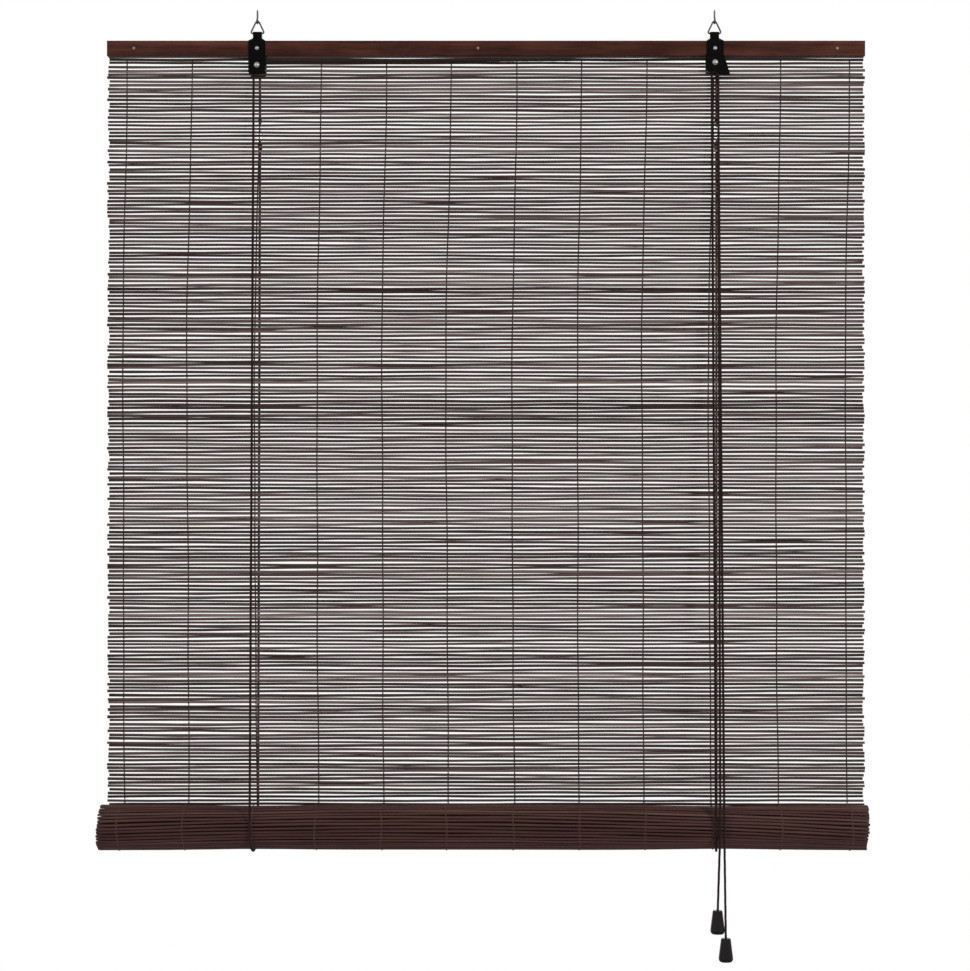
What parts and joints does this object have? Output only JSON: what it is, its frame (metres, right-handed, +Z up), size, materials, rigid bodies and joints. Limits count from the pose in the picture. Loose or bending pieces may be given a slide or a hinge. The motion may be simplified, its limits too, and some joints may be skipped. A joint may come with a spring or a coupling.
{
  "type": "bamboo roll up blind",
  "caption": "Woven bamboo-stick window blind on a wooden head rail with hooks, a cord lock, lift cords under its partly rolled end and pull cords with bells.",
  "frame": {"origin": "on the ceiling plane, midway between the two screw hooks", "axes": "+Z up out of the ceiling screws, +X to the right seen from the front, +Y to the back"},
  "size_m": [0.9, 0.0784, 1.1212],
  "materials": {
    "hook_wire": "zinc wire, dull grey",
    "black_steel": "satin black",
    "rivet_metal": "bright",
    "cam_metal": "dull",
    "pulley_nylon": "satin",
    "rail_wood": "stained red-brown, semi-matt",
    "bamboo": "stained dark brown, semi-matt",
    "batten_wood": "stained dark brown",
    "string": "cotton thread",
    "clear_plastic": "clear",
    "bell_plastic": "satin dark",
    "cord": "twisted polyester"
  },
  "bodies": {
    "root": {"hook_left": "hook_wire", "hook_right": "hook_wire", "ring_left": "hook_wire", "ring_right": "hook_wire"},
    "rail": {"pulley_bracket": "black_steel", "cord_lock_housing": "black_steel", "fixing_rivet_left": "rivet_metal", "fixing_rivet_right": "rivet_metal", "pulley_axle_left": "rivet_metal", "pulley_axle_right": "rivet_metal", "lock_cam_pin": "rivet_metal", "batten_front": "rail_wood", "batten_back": "rail_wood", "batten_nails": "rivet_metal", "mat": "bamboo", "warp_strings": "string", "cross_cord": "cord", "lift_cord_head": "cord", "front_cord_left": "cord", "front_cord_right": "cord", "back_cord_left": "cord", "back_cord_right": "cord", "anchor_cord_left": "cord", "anchor_cord_right": "cord", "clip_socket_left": "clear_plastic", "clip_socket_right": "clear_plastic", "clip_plug_left": "clear_plastic", "clip_plug_right": "clear_plastic", "pull_cord_1_upper": "cord", "pull_cord_2_upper": "cord"},
    "slings": {"sling_left": "cord", "sling_right": "cord"},
    "roll": {"mat_roll": "bamboo", "bottom_batten": "batten_wood"},
    "pulls": {"pull_cord_1_lower": "cord", "pull_cord_2_lower": "cord", "bell_1": "bell_plastic", "bell_2": "bell_plastic"},
    "left_pulley": {"pulley_left": "pulley_nylon"},
    "right_pulley": {"pulley_right": "pulley_nylon"},
    "cam": {"lock_cam": "cam_metal"}
  },
  "joints": [
    {"name": "blind_swing", "type": "hinge", "parent": "root", "child": "rail", "pos_m": [0, 0, -0.0194], "axis": [1, 0, 0], "range_deg": [-45, 45]},
    {"name": "roll_raise", "type": "slide", "parent": "rail", "child": "slings", "axis": [0, 0, 1], "range_m": [0, 0.8], "deforming": ["mat", "warp_strings", "front_cord_left", "front_cord_right", "back_cord_left", "back_cord_right", "pull_cord_1_upper", "pull_cord_2_upper"]},
    {"name": "roll_turn", "type": "hinge", "parent": "slings", "child": "roll", "pos_m": [0, -0.0266, -0.9597], "axis": [1, 0, 0], "range_deg": [-1659.8, 0]},
    {"name": "pull_drop", "type": "slide", "parent": "slings", "child": "pulls", "axis": [0, 0, -1], "range_m": [0, 2.4], "deforming": ["pull_cord_1_lower", "pull_cord_2_lower"]},
    {"name": "pulley_left_turn", "type": "hinge", "parent": "rail", "child": "left_pulley", "pos_m": [-0.272, 0, -0.0585], "axis": [0, 1, 0], "continuous": true},
    {"name": "pulley_right_turn", "type": "hinge", "parent": "rail", "child": "right_pulley", "pos_m": [0.272, 0, -0.0553], "axis": [0, 1, 0], "continuous": true},
    {"name": "lock_cam_turn", "type": "hinge", "parent": "rail", "child": "cam", "pos_m": [0.27277, 0, -0.06388], "axis": [0, 1, 0], "range_deg": [0, 25]}
  ],
  "couplings": [
    {"joint": "roll_turn", "follows": "roll_raise", "rad_per_m": -36.101},
    {"joint": "pull_drop", "follows": "roll_raise", "ratio": 3},
    {"joint": "pulley_left_turn", "follows": "roll_raise", "rad_per_m": 526.32},
    {"joint": "pulley_right_turn", "follows": "roll_raise", "rad_per_m": 526.32}
  ]
}
